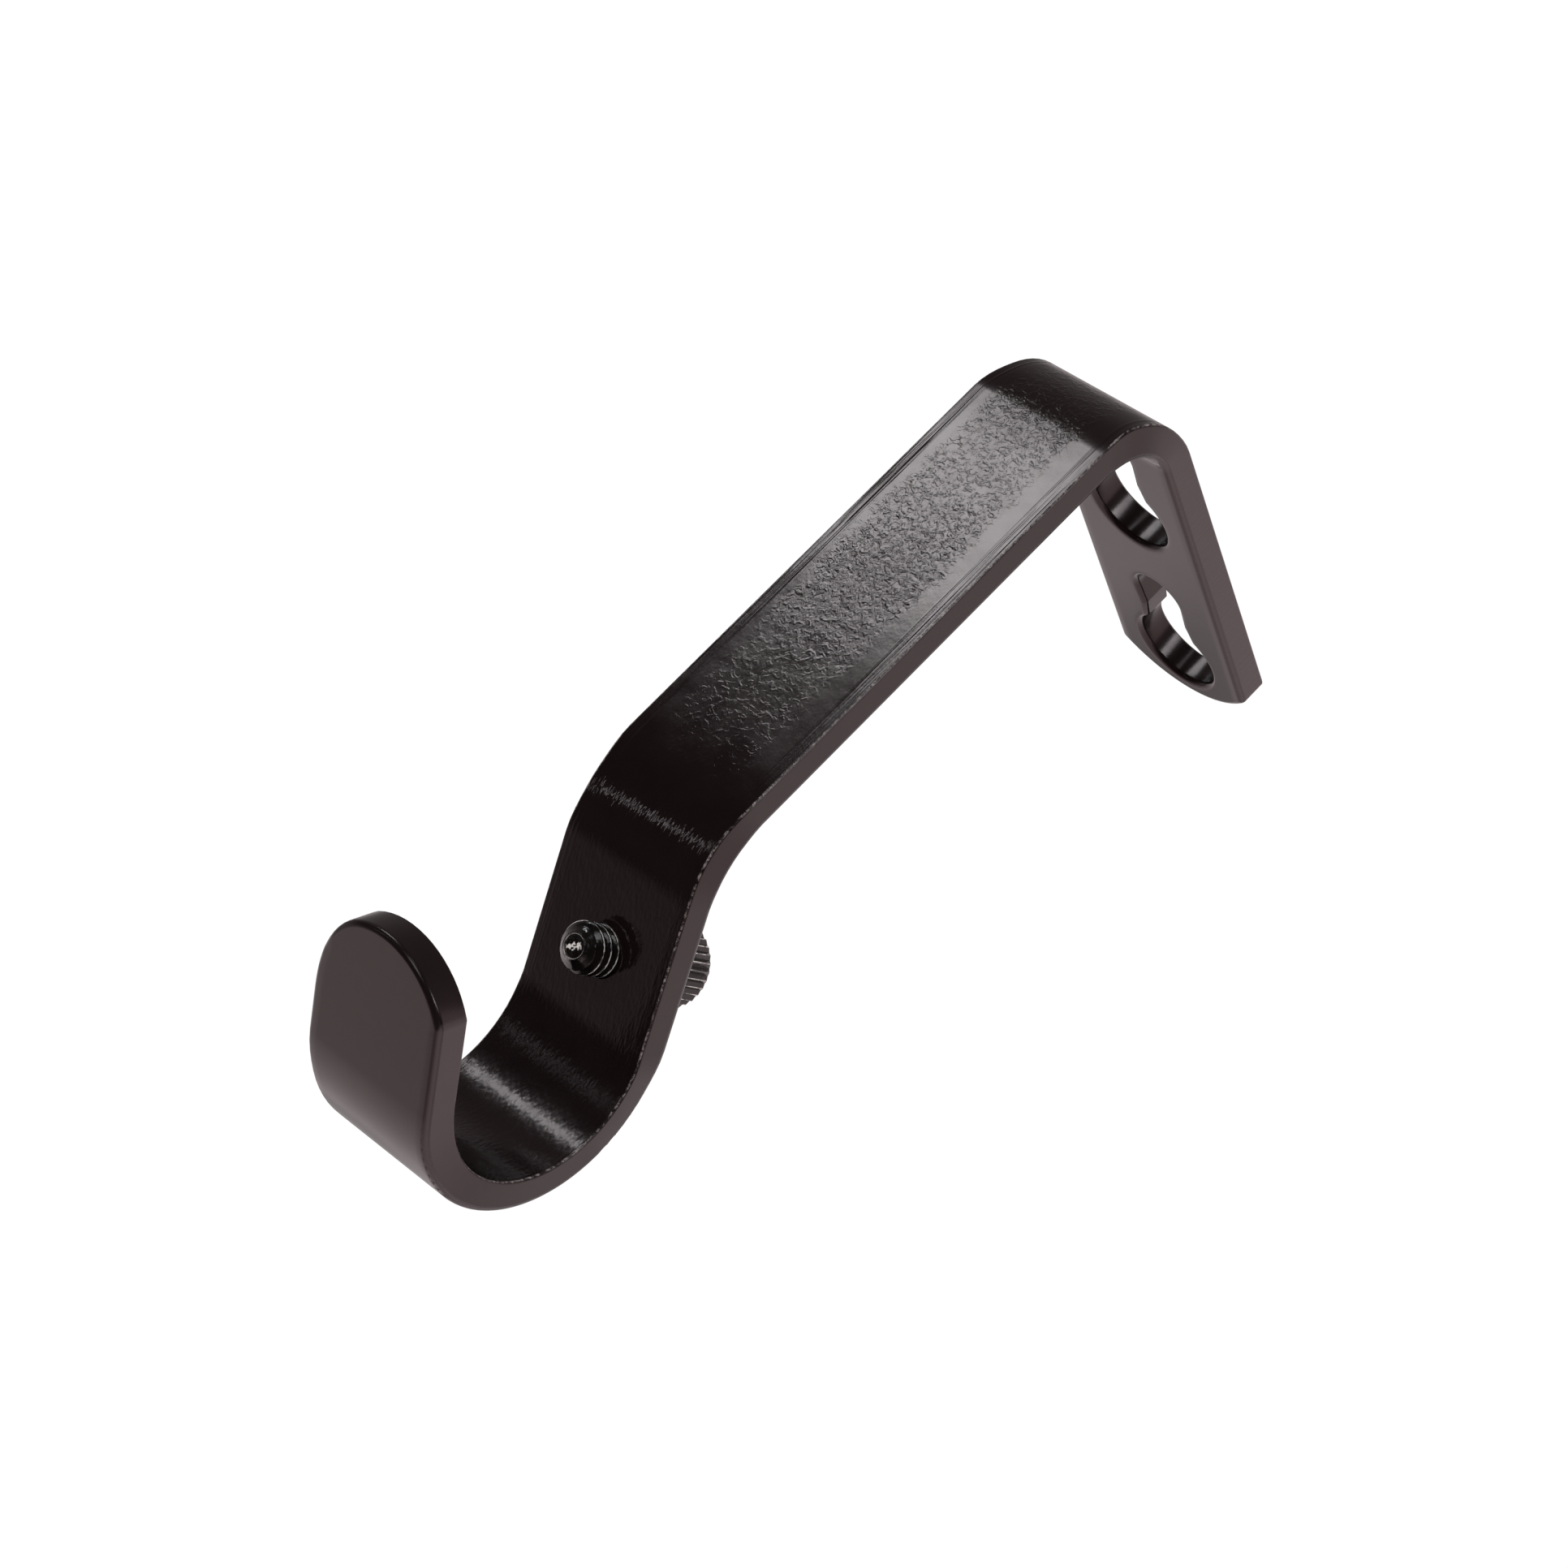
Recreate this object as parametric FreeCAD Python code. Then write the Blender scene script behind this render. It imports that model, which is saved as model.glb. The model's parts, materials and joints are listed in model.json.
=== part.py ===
import FreeCAD, Part
import math
import os

# Curtain pole bracket: one bent flat steel strip and one knurled thumb screw.
# Millimetres. The origin lies on the wall plane (the back of the wall plate), on the
# strip's centre line, in the middle of the bridge between the two keyholes.
# +Z is up, the wall is at Y = 0, the room is towards -Y, and X runs along the pole.

# ---- strip ----
strip_width = 20.0
strip_thickness = 4.0
rolled_edge_r = 0.7          # soft edge on the punch side (room side of the plate)
sheared_edge_bevel = 0.2     # nearly sharp edge on the other side (the wall side)
shoulder_r = 1.0             # corner where an end arc meets a straight side

# ---- wall plate and keyholes ----
keyhole_pitch = 27.2         # between the two round entries
entry_r = 5.6                # round entry that lets the wall screw's head through
entry_below_bend = 13.3      # upper entry centre, below the start of the top bend
end_below_entry = 7.8        # lower end of the plate, below the lower entry centre
plate_end_sag = 4.2          # how far the end's arc drops from the sides to the middle
neck_angle_deg = 41.0        # where the neck leaves the entry circle, from straight up
neck_top_half_width = 3.1    # narrowest place, where neck and slot meet
neck_top_height = 7.2        # above the entry centre
slot_end_r = 3.35            # round upper end of the slot
slot_end_height = 10.75      # centre of that end, above the entry centre
keyhole_corner_r = 0.9       # eased corners of the neck

# ---- bends, arm, stem and hook ----
top_bend_inner_r = 7.5
arm_straight = 56.5
front_bend_deg = 45.0
front_bend_inner_r = 14.0
stem_straight = 17.5
pole_r = 12.5                # the pole that the hook is made for
pole_play = 1.0              # between the pole and the hook, all round
hook_turn_deg = 169.0
tongue_length = 17.5         # from the end of the hook's arc to the top of the tip
tongue_tip_sag = 6.4         # how far the tip's arc rises from the sides to the middle

# ---- thumb screw ----
screw_along_stem = 9.8       # from the end of the front bend to the screw's axis
screw_lean_deg = 14.0        # the axis leans this much upwards from square to the stem
thread_crest_r = 3.0         # the thread is drawn plain, at its crests
screw_clearance = 0.05       # radial, between the thread's crests and the tapped hole
tip_stand = 4.7              # tip above the stem's inner face, along the axis
tip_flat_r = 1.4
tip_cone_length = 1.3
head_gap = 3.2               # from the stem's outer face to the head, along the axis
plain_neck_length = 1.6      # run-out of the thread below the head
plain_neck_r = 2.3
head_r = 5.0
head_length = 6.8
head_chamfer = 0.6
knurl_count = 32
knurl_depth = 0.4

# ---- working allowances ----
cut_past = 2.0               # a cutter runs this far past the metal
on_face = 0.01               # a point this near to a face lies on it
same_place = 1e-4            # two coordinates this close are the same

# ---- sizes that follow from the ones above ----
half_width = strip_width / 2.0
half_t = strip_thickness / 2.0
hook_inner_r = pole_r + pole_play
hook_r = hook_inner_r + half_t
top_bend_r = top_bend_inner_r + half_t
front_bend_r = front_bend_inner_r + half_t
keyhole_middle = (slot_end_height + slot_end_r - entry_r) / 2.0
upper_entry_z = keyhole_pitch / 2.0 - keyhole_middle
lower_entry_z = -keyhole_pitch / 2.0 - keyhole_middle
bend_start_z = upper_entry_z + entry_below_bend
plate_end_z = lower_entry_z - end_below_entry
tapped_hole_r = thread_crest_r + screw_clearance


def point(u, z, x=0.0):
    """A point u mm out from the wall and z mm up."""
    return FreeCAD.Vector(x, -u, z)


def direction(degrees):
    """Unit direction in the side view: 0 is out into the room, 90 is up."""
    a = math.radians(degrees)
    return (math.cos(a), math.sin(a))


# ---- side view of the strip ----
# The path is walked from the plate's lower end to the tongue's tip. Each station keeps
# the centre-line point and the heading; the left-hand face is the wall side of the
# plate, the top of the arm and the inside of the hook.
def station(u, z, heading):
    return (u, z, heading)


def walk_straight(start, length):
    u, z, heading = start
    du, dz = direction(heading)
    return station(u + length * du, z + length * dz, heading)


def walk_arc(start, radius, turn):
    """turn > 0 bends to the left, turn < 0 to the right."""
    u, z, heading = start
    side = 1.0 if turn > 0 else -1.0
    nu, nz = direction(heading + 90.0 * side)
    cu = u + radius * nu
    cz = z + radius * nz
    end_u, end_z = direction(heading + turn - 90.0 * side)
    return station(cu + radius * end_u, cz + radius * end_z, heading + turn)


def face_point(at, offset, x=-half_width):
    """The point offset mm to the left of the centre line at a station."""
    u, z, heading = at
    nu, nz = direction(heading + 90.0)
    return point(u + offset * nu, z + offset * nz, x)


s0 = station(half_t, plate_end_z, 90.0)
s1 = walk_straight(s0, bend_start_z - plate_end_z)
s2 = walk_arc(s1, top_bend_r, -90.0)
s3 = walk_straight(s2, arm_straight)
s4 = walk_arc(s3, front_bend_r, -front_bend_deg)
s5 = walk_straight(s4, stem_straight)
s6 = walk_arc(s5, hook_r, hook_turn_deg)
s7 = walk_straight(s6, tongue_length)

mid_top = walk_arc(s1, top_bend_r, -45.0)
mid_front = walk_arc(s3, front_bend_r, -front_bend_deg / 2.0)
mid_hook = walk_arc(s5, hook_r, hook_turn_deg / 2.0)


def side_edges(offset):
    """The seven edges of one face, from the plate's end to the tongue's tip."""
    return [
        Part.makeLine(face_point(s0, offset), face_point(s1, offset)),
        Part.Arc(face_point(s1, offset), face_point(mid_top, offset),
                 face_point(s2, offset)).toShape(),
        Part.makeLine(face_point(s2, offset), face_point(s3, offset)),
        Part.Arc(face_point(s3, offset), face_point(mid_front, offset),
                 face_point(s4, offset)).toShape(),
        Part.makeLine(face_point(s4, offset), face_point(s5, offset)),
        Part.Arc(face_point(s5, offset), face_point(mid_hook, offset),
                 face_point(s6, offset)).toShape(),
        Part.makeLine(face_point(s6, offset), face_point(s7, offset)),
    ]


outline = side_edges(half_t)
outline.append(Part.makeLine(face_point(s7, half_t), face_point(s7, -half_t)))
outline += side_edges(-half_t)
outline.append(Part.makeLine(face_point(s0, -half_t), face_point(s0, half_t)))
profile = Part.Face(Part.Wire(Part.__sortEdges__(outline)))
strip = profile.extrude(FreeCAD.Vector(strip_width, 0, 0))


# ---- the two rounded ends ----
# Each end is trimmed by a corner cutter: a block wider than the strip, less the disc
# whose arc is the end's outline. The arc meets the sides one sag below the tip.
def end_cutter(tip, outward, through, sag):
    """tip: mid point of the end; outward: along the strip; through: across its thickness."""
    arc_r = (half_width ** 2 + sag ** 2) / (2.0 * sag)
    wide = strip_width + 2.0 * cut_past
    deep = strip_thickness + 2.0 * cut_past
    across = FreeCAD.Vector(1, 0, 0)
    corner = tip - outward * sag - across * (wide / 2.0) - through * (deep / 2.0)
    top = corner + outward * (sag + cut_past)
    block_face = Part.Face(Part.makePolygon([
        corner, corner + across * wide, top + across * wide, top, corner]))
    block = block_face.extrude(through * deep)
    disc_centre = tip - outward * arc_r
    disc_base = disc_centre - through * (deep / 2.0 + cut_past)
    disc = Part.makeCylinder(arc_r, deep + 2.0 * cut_past, disc_base, through)
    return block.cut(disc)


plate_tip = point(half_t, plate_end_z)
plate_cutter = end_cutter(plate_tip, FreeCAD.Vector(0, 0, -1), FreeCAD.Vector(0, 1, 0), plate_end_sag)
tip_u, tip_z, tip_heading = s7
tongue_tip = point(tip_u, tip_z)
hu, hz = direction(tip_heading)
tongue_out = FreeCAD.Vector(0, -hu, hz)
tu, tz = direction(tip_heading + 90.0)
tongue_through = FreeCAD.Vector(0, -tu, tz)
tongue_cutter = end_cutter(tongue_tip, tongue_out, tongue_through, tongue_tip_sag)
strip = strip.cut(plate_cutter)
strip = strip.cut(tongue_cutter)


# The four shoulders, where an end's arc meets a side, are eased.
def is_shoulder(edge):
    if len(edge.Vertexes) != 2:
        return False
    a = edge.Vertexes[0].Point
    b = edge.Vertexes[1].Point
    same_side = abs(a.x - b.x) < same_place and abs(abs(a.x) - half_width) < same_place
    return same_side and abs(a.distanceToPoint(b) - strip_thickness) < same_place


shoulders = [e for e in strip.Edges if is_shoulder(e)]
print("shoulder edges", len(shoulders))
strip = strip.makeFillet(shoulder_r, shoulders)


# ---- keyholes ----
def tangent_point(px, pz, cz, r):
    """Where the line from (px, pz) touches the circle at (0, cz), on the outer side."""
    dx = px
    dz = pz - cz
    distance = math.hypot(dx, dz)
    base = math.atan2(dz, dx)
    swing = math.acos(r / distance)
    return (r * math.cos(base + swing), cz + r * math.sin(base + swing))


def keyhole_cutter(entry_z):
    neck = math.radians(neck_angle_deg)
    x1 = entry_r * math.sin(neck)
    z1 = entry_z + entry_r * math.cos(neck)
    x2 = neck_top_half_width
    z2 = entry_z + neck_top_height
    slot_z = entry_z + slot_end_height
    x3, z3 = tangent_point(x2, z2, slot_z, slot_end_r)
    deep = strip_thickness + 2.0 * cut_past

    def at(x, z):
        return FreeCAD.Vector(x, cut_past, z)

    edges = [
        Part.Arc(at(x1, z1), at(0.0, entry_z - entry_r), at(-x1, z1)).toShape(),
        Part.makeLine(at(-x1, z1), at(-x2, z2)),
        Part.makeLine(at(-x2, z2), at(-x3, z3)),
        Part.Arc(at(-x3, z3), at(0.0, slot_z + slot_end_r), at(x3, z3)).toShape(),
        Part.makeLine(at(x3, z3), at(x2, z2)),
        Part.makeLine(at(x2, z2), at(x1, z1)),
    ]
    face = Part.Face(Part.Wire(edges))
    prism = face.extrude(FreeCAD.Vector(0, -deep, 0))
    corners = []
    for edge in prism.Edges:
        if len(edge.Vertexes) != 2:
            continue
        a = edge.Vertexes[0].Point
        b = edge.Vertexes[1].Point
        along_y = abs(a.x - b.x) < same_place and abs(a.z - b.z) < same_place
        at_neck = abs(abs(a.x) - x1) < same_place or abs(abs(a.x) - x2) < same_place
        if along_y and at_neck:
            corners.append(edge)
    print("keyhole corners", len(corners))
    return prism.makeFillet(keyhole_corner_r, corners)


strip = strip.cut(keyhole_cutter(upper_entry_z))
strip = strip.cut(keyhole_cutter(lower_entry_z))


# ---- edges: soft on the punch side, nearly sharp on the other ----
def centre_line_offset(p):
    """How far a point lies to the left of the strip's centre line, and from which span."""
    best = None
    spans = [
        ("line", s0, s1), ("arc", s1, s2, top_bend_r, -1.0),
        ("line", s2, s3), ("arc", s3, s4, front_bend_r, -1.0),
        ("line", s4, s5), ("arc", s5, s6, hook_r, 1.0),
        ("line", s6, s7),
    ]
    u = -p.y
    z = p.z
    for span in spans:
        u0, z0, h0 = span[1]
        du, dz = direction(h0)
        nu, nz = direction(h0 + 90.0)
        if span[0] == "line":
            u1, z1, _ = span[2]
            along = (u - u0) * du + (z - z0) * dz
            length = math.hypot(u1 - u0, z1 - z0)
            if -on_face <= along <= length + on_face:
                offset = (u - u0) * nu + (z - z0) * nz
                if best is None or abs(offset) < abs(best):
                    best = offset
        else:
            radius = span[3]
            side = span[4]
            cu = u0 + side * radius * nu
            cz = z0 + side * radius * nz
            reach = math.hypot(u - cu, z - cz)
            offset = side * (radius - reach)
            turned = math.degrees(math.atan2(z - cz, u - cu)) - (h0 - 90.0 * side)
            turned = (turned * side) % 360.0
            total = abs(span[2][2] - h0)
            if turned <= total + on_face or turned >= 360.0 - on_face:
                if best is None or abs(offset) < abs(best):
                    best = offset
    return best


def edge_on_face(edge, wanted):
    first = edge.FirstParameter
    last = edge.LastParameter
    for k in range(5):
        p = edge.valueAt(first + (last - first) * (k + 0.5) / 5.0)
        offset = centre_line_offset(p)
        if offset is None or abs(offset - wanted) > on_face:
            return False
    return True


def is_rim(edge, wanted):
    """An edge between a broad face and a side, an end or a keyhole wall."""
    if not edge_on_face(edge, wanted):
        return False
    first = edge.FirstParameter
    last = edge.LastParameter
    mid = edge.valueAt((first + last) / 2.0)
    tangent = edge.tangentAt((first + last) / 2.0)
    crosses = abs(abs(tangent.x) - 1.0) < same_place
    return not (crosses and abs(mid.x) < on_face)


soft = [e for e in strip.Edges if is_rim(e, -half_t)]
print("soft edges", len(soft))
strip = strip.makeFillet(rolled_edge_r, soft)
crisp = [e for e in strip.Edges if is_rim(e, half_t)]
print("crisp edges", len(crisp))
strip = strip.makeChamfer(sheared_edge_bevel, crisp)

# ---- the screw's axis ----
su, sz, stem_heading = s4
au, az = direction(stem_heading)
nu, nz = direction(stem_heading + 90.0)
entry_u = su + screw_along_stem * au + half_t * nu
entry_z = sz + screw_along_stem * az + half_t * nz
screw_entry = point(entry_u, entry_z)
lean_heading = stem_heading + 90.0 + screw_lean_deg
lu, lz = direction(lean_heading)
screw_axis = FreeCAD.Vector(0, -lu, lz)

hole_reach = 3.0 * strip_thickness
tapped_hole = Part.makeCylinder(tapped_hole_r, 2.0 * hole_reach,
                                screw_entry - screw_axis * hole_reach, screw_axis)
strip = strip.cut(tapped_hole)
strip = strip.removeSplitter()


# ---- thumb screw, built along its own +Z with the stem's inner face at 0 ----
def ring(points):
    """A solid of revolution from (radius, height) pairs."""
    pts = [FreeCAD.Vector(r, 0, h) for r, h in points]
    pts.append(pts[0])
    face = Part.Face(Part.makePolygon(pts))
    return face.revolve(FreeCAD.Vector(0, 0, 0), FreeCAD.Vector(0, 0, 1), 360)


lean = math.radians(screw_lean_deg)
head_front = -strip_thickness / math.cos(lean) - head_gap
head_back = head_front - head_length
cone_base = tip_stand - tip_cone_length
thread_end = head_front + plain_neck_length
root_step = thread_crest_r - plain_neck_r

shank_body = ring([
    (0.0, tip_stand), (tip_flat_r, tip_stand), (thread_crest_r, cone_base),
    (thread_crest_r, thread_end + root_step), (plain_neck_r, thread_end),
    (plain_neck_r, head_front - head_length / 2.0), (0.0, head_front - head_length / 2.0)])

head_blank = ring([
    (0.0, head_front), (head_r - head_chamfer, head_front),
    (head_r, head_front - head_chamfer), (head_r, head_back + head_chamfer),
    (head_r - head_chamfer, head_back), (0.0, head_back)])
star = []
for k in range(2 * knurl_count):
    reach = head_r if k % 2 == 0 else head_r - knurl_depth
    angle = math.pi * k / knurl_count
    star.append(FreeCAD.Vector(reach * math.cos(angle), reach * math.sin(angle), head_back - 1.0))
star.append(star[0])
knurl = Part.Face(Part.makePolygon(star)).extrude(FreeCAD.Vector(0, 0, head_length + 2.0))
head = head_blank.common(knurl)

screw = shank_body.fuse(head)
turn = FreeCAD.Rotation(FreeCAD.Vector(0, 0, 1), screw_axis)
screw.Placement = FreeCAD.Placement(screw_entry, turn)

os.makedirs("parts", exist_ok=True)
for name, shape in (("bracket_strip", strip), ("thumb_screw", screw)):
    solids = shape.Solids
    print(name, "solids", len(solids), "valid", shape.isValid(), "volume", round(shape.Volume, 1))
    print(name, "box", shape.BoundBox)
    solids[0].exportStep("parts/" + name + ".step")
print("screw entry", screw_entry, "axis", screw_axis)
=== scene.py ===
# %% [markdown]
# # A curtain pole bracket
# The bracket is one flat steel bar, bent into a wall plate, an arm and a hook, with a
# knurled thumb screw that clamps the pole. The construction comes in as fixed solids at
# their real size. This lesson dresses them: the bar gets the way its edges spread at the
# bends and a dark powder coat, and the screw gets its real thread and knurl.
# Blender works in metres here; sizes are written in millimetres and multiplied by `MM`.

# %% Load the construction
import json
import math
import bmesh
import bpy
import numpy as np
from mathutils import Matrix, Vector


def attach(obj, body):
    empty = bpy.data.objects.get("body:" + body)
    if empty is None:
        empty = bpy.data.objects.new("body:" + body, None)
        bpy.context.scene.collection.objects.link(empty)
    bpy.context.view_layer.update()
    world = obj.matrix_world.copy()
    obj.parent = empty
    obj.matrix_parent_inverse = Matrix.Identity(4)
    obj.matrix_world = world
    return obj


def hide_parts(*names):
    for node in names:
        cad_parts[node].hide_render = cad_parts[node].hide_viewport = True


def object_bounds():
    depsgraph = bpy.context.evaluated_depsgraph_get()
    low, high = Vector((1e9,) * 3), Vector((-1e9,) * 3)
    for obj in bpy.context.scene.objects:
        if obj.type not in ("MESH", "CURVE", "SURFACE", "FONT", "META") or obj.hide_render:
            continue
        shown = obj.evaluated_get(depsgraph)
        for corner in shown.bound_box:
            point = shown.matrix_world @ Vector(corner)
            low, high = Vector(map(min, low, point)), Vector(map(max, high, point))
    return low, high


MM = 0.001
PER_MM = 1000.0
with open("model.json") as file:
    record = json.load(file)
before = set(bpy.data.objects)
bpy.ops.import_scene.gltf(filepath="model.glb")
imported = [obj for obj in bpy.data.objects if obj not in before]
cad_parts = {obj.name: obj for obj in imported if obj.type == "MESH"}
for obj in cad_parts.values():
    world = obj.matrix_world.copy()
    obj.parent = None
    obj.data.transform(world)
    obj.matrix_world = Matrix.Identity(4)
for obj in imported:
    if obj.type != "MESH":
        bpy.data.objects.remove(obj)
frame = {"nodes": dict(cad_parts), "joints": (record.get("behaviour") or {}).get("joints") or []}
cad_low, cad_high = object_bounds()
print("size in mm", [round((b - a) / MM, 1) for a, b in zip(cad_low, cad_high)])

# %% [markdown]
# ## Small helpers
# Colours are written as sRGB hex, as a paint chart gives them, and turned to linear light
# by one function. `add_node` adds a shader node and fills its inputs, each with a value or
# with a link from another node. `combine` folds several parts into one value, and is how
# the masks below say where on the bracket something happens.

# %% Colour and node helpers
def linear(hex_colour):
    """sRGB hex to linear RGBA."""
    values = []
    for k in (0, 2, 4):
        c = int(hex_colour.lstrip("#")[k:k + 2], 16) / 255.0
        values.append(c / 12.92 if c <= 0.04045 else ((c + 0.055) / 1.055) ** 2.4)
    return (*values, 1.0)


def add_node(tree, kind, inputs=None, **settings):
    """Adds a node; an input is a plain value or the output that it is linked from."""
    node = tree.nodes.new(kind)
    for name, value in settings.items():
        setattr(node, name, value)
    for name, value in (inputs or {}).items():
        if isinstance(value, bpy.types.NodeSocket):
            tree.links.new(value, node.inputs[name])
        else:
            node.inputs[name].default_value = value
    return node


def combine(tree, operation, *parts):
    """Folds numbers, outputs and soft steps (source, from, to, before, after) into one."""
    total = None
    for part in parts:
        if isinstance(part, tuple):
            source, low, high, before, after = part
            part = add_node(tree, "ShaderNodeMapRange",
                            {"Value": source, "From Min": low, "From Max": high,
                             "To Min": before, "To Max": after},
                            interpolation_type="SMOOTHSTEP").outputs["Result"]
        if total is None:
            total = part
        else:
            total = add_node(tree, "ShaderNodeMath", {0: total, 1: part},
                             operation=operation).outputs[0]
    return total


def new_material(name):
    """An empty material with its output node, ready for a shader."""
    material = bpy.data.materials.new(name)
    material.use_nodes = True
    material.node_tree.nodes.clear()
    output = add_node(material.node_tree, "ShaderNodeOutputMaterial")
    return material, material.node_tree, output


print("coat black in linear light", [round(v, 4) for v in linear("#160f10")[:3]])

# %% [markdown]
# ## The camera
# The photograph looks down on the bracket from the room side, a little to the right, and
# the camera was rolled. The stand point and the angles come from fitting the bar's known
# shape to its outline; a 100 mm lens on a 36 mm frame matches the perspective.

# %% Camera
camera_place = Vector((279.73, -188.74, 394.41)) * MM
camera_azimuth = math.radians(65.113)
camera_elevation = math.radians(50.571)
camera_roll = math.radians(-25.457)
lens_mm = 99.9
frame_shift = 0.0006  # of the frame's width

towards_camera = Vector((math.sin(camera_azimuth) * math.cos(camera_elevation),
                         -math.cos(camera_azimuth) * math.cos(camera_elevation),
                         math.sin(camera_elevation)))
level_right = Vector((math.cos(camera_azimuth), math.sin(camera_azimuth), 0.0))
level_up = towards_camera.cross(level_right)
right = level_right * math.cos(camera_roll) + level_up * math.sin(camera_roll)
up = towards_camera.cross(right)

camera_data = bpy.data.cameras.new("camera")
camera_data.lens = lens_mm
camera_data.sensor_width = 36.0
camera_data.clip_start = 0.01
camera_data.clip_end = 20.0
camera_data.shift_x = -frame_shift
camera_data.shift_y = frame_shift
camera = bpy.data.objects.new("camera", camera_data)
camera.matrix_world = Matrix((
    (right.x, up.x, towards_camera.x, camera_place.x),
    (right.y, up.y, towards_camera.y, camera_place.y),
    (right.z, up.z, towards_camera.z, camera_place.z),
    (0.0, 0.0, 0.0, 1.0)))
bpy.context.scene.collection.objects.link(camera)
bpy.context.scene.camera = camera
print("camera", [round(v, 4) for v in camera.location], "lens", lens_mm)

# %% [markdown]
# ## The studio lamps
# The coat is nearly black, so what the eye sees is mostly the studio mirrored in it. A
# soft box high behind the left side makes the long sheen on the arm. A strip 4 mm wide,
# close by, makes the thin streak across the front bend, a second strip on the right lights
# the hook, and a soft panel overhead and a small card behind fill the rest. Directions are
# azimuth (0 is the room side, 90 the right) and elevation in degrees, distances and sizes
# are in metres, and a lamp always faces the bracket.

# %% Lamps
def lamp(name, direction, distance, size, strength, roll, centre):
    """A soft lamp of a size in metres; strength is its surface brightness, 1 is white."""
    azimuth, elevation = (math.radians(v) for v in direction)
    out = Vector((math.sin(azimuth) * math.cos(elevation),
                  -math.cos(azimuth) * math.cos(elevation), math.sin(elevation)))
    data = bpy.data.lights.new(name, "AREA")
    data.shape = "RECTANGLE"
    data.size, data.size_y = size
    data.color = linear("#ecffff")[:3]
    data.energy = strength * math.pi * size[0] * size[1]
    thing = bpy.data.objects.new(name, data)
    thing.location = centre + out * distance
    spin = Matrix.Rotation(math.radians(roll), 3, "Z").to_quaternion()
    thing.rotation_mode = "QUATERNION"
    thing.rotation_quaternion = out.to_track_quat("Z", "Y") @ spin
    thing.visible_camera = False
    bpy.context.scene.collection.objects.link(thing)
    print(name, "at", [round(v, 2) for v in thing.location], "power", round(data.energy, 3))


bracket_middle = Vector((0.0, -60.0, 20.0)) * MM
front_bend_spot = Vector((0.0, -75.0, 33.0)) * MM
for name, direction, distance, size, strength, roll, centre in (
        ("soft_box", (-122.4, 46.9), 1.4, (0.145, 0.50), 9.4, 33.0, bracket_middle),
        ("front_strip", (-57.5, 45.0), 0.25, (0.0040, 0.10), 3.3, 0.0, front_bend_spot),
        ("rim_strip", (114.5, 32.0), 1.2, (0.12, 0.40), 13.0, 0.0, bracket_middle),
        ("overhead", (40.0, 84.0), 1.3, (0.40, 0.40), 3.0, 0.0, bracket_middle),
        ("back_card", (169.0, 68.0), 1.2, (0.14, 0.14), 2.5, 0.0, bracket_middle)):
    lamp(name, direction, distance, size, strength, roll, centre)

# %% [markdown]
# ## The floor
# The bracket hangs free over a wide sheet of white paper, which keeps its soft shadow. To
# the camera the paper is plain white. In the coat's mirror image it is painted light: a glow
# that gives the flat sides their grey and is darker further back, as if the lamps' light fell
# off. Three soft painted shadows lie in that glow, seen only in the mirror image: they give
# the wall plate, the outside of the hook and the tongue the darker tones that such a coat
# shows when something dark is near.

# %% Floor mesh
floor_drop = 120.0 * MM
floor_level = cad_low.z - floor_drop
floor_half = 3.0
floor_mesh = bpy.data.meshes.new("floor")
floor_mesh.from_pydata(
    [(-floor_half, -floor_half, floor_level), (floor_half, -floor_half, floor_level),
     (floor_half, floor_half, floor_level), (-floor_half, floor_half, floor_level)],
    [], [(0, 1, 2, 3)])
floor = bpy.data.objects.new("floor", floor_mesh)
bpy.context.scene.collection.objects.link(floor)
print("floor at", round(floor_level / MM, 1), "mm")

# %% White paper, and the painted light and painted shadows that the coat mirrors
material, tree, output = new_material("white_paper_floor")
where = add_node(tree, "ShaderNodeNewGeometry")
away = add_node(tree, "ShaderNodeVectorMath", {0: where.outputs["Position"], 1: (-1.0, 1.0, 0.0)},
                operation="DOT_PRODUCT")
# Painted light: how bright the paper looks in the coat's mirror image, brighter on the room side
# and darker further back.
painted_floor_light = combine(tree, "MULTIPLY", (away.outputs["Value"], -0.15, 0.70, 1.0, 0.16))
# Painted shadows: three soft dark ellipses on the paper, seen only in the coat's mirror image;
# darkest is how dark each one is at its middle.
painted_shadow_turn = math.radians(75.0)
painted_shadow_tall = 1000.0      # so that only the distance across the floor counts
painted_shadow_fade = (0.4, 1.5)  # where a card's soft edge starts and ends, in half-widths
for x_mm, y_mm, half_long, half_wide, darkest in (
        (-82.0, -50.0, 22.0, 22.0, 0.5),            # mirrored in the wall plate
        (-137.0, -148.0, 42.0, 24.0, 0.5),          # in the outside of the hook
        (-730.0, -1180.0, 300.0, 150.0, 0.75)):     # in the tongue
    painted_shadow = add_node(tree, "ShaderNodeMapping",
                    {"Vector": where.outputs["Position"], "Location": (x_mm * MM, y_mm * MM, 0.0),
                     "Rotation": (0.0, 0.0, painted_shadow_turn),
                     "Scale": (half_long * MM, half_wide * MM, painted_shadow_tall)},
                    vector_type="TEXTURE")
    from_painted_shadow = add_node(tree, "ShaderNodeVectorMath", {0: painted_shadow.outputs["Vector"]},
                         operation="LENGTH").outputs["Value"]
    painted_floor_light = combine(tree, "MULTIPLY", painted_floor_light, (from_painted_shadow, *painted_shadow_fade, darkest, 1.0))

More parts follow.
